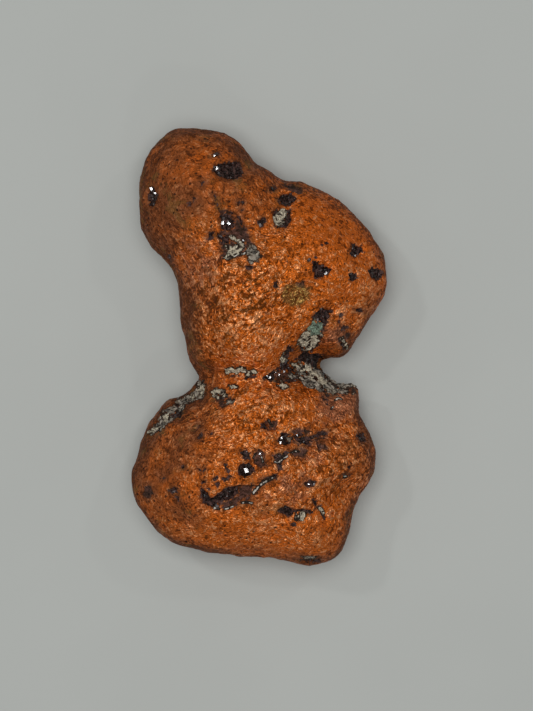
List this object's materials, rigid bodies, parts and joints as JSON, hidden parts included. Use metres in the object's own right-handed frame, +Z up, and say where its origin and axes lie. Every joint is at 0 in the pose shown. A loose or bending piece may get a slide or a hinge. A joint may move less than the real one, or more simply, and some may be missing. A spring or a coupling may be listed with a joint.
{
  "type": "native copper nugget",
  "caption": "Native copper nugget: one solid lump of two rounded lobes joined at a notched waist, pitted and creased, lying on small worn flats.",
  "frame": {"origin": "middle of the bounding box's lowest face, on the surface that the nugget lies on, near its waist", "axes": "+Y along the length towards the narrower head lobe, +X towards the broad side of the upper lobe, +Z up, from the worn flats to the pitted face"},
  "size_m": [0.0434, 0.0744, 0.0287],
  "materials": {
    "native_copper": "rough, fine-grained native copper: orange where rubbed bright, thin brown patina in the hollows and round the rims, with dark cuprite, pale matrix and a little malachite left in the pits"
  },
  "bodies": {
    "root": {"copper_nugget": "native_copper"}
  },
  "joints": []
}
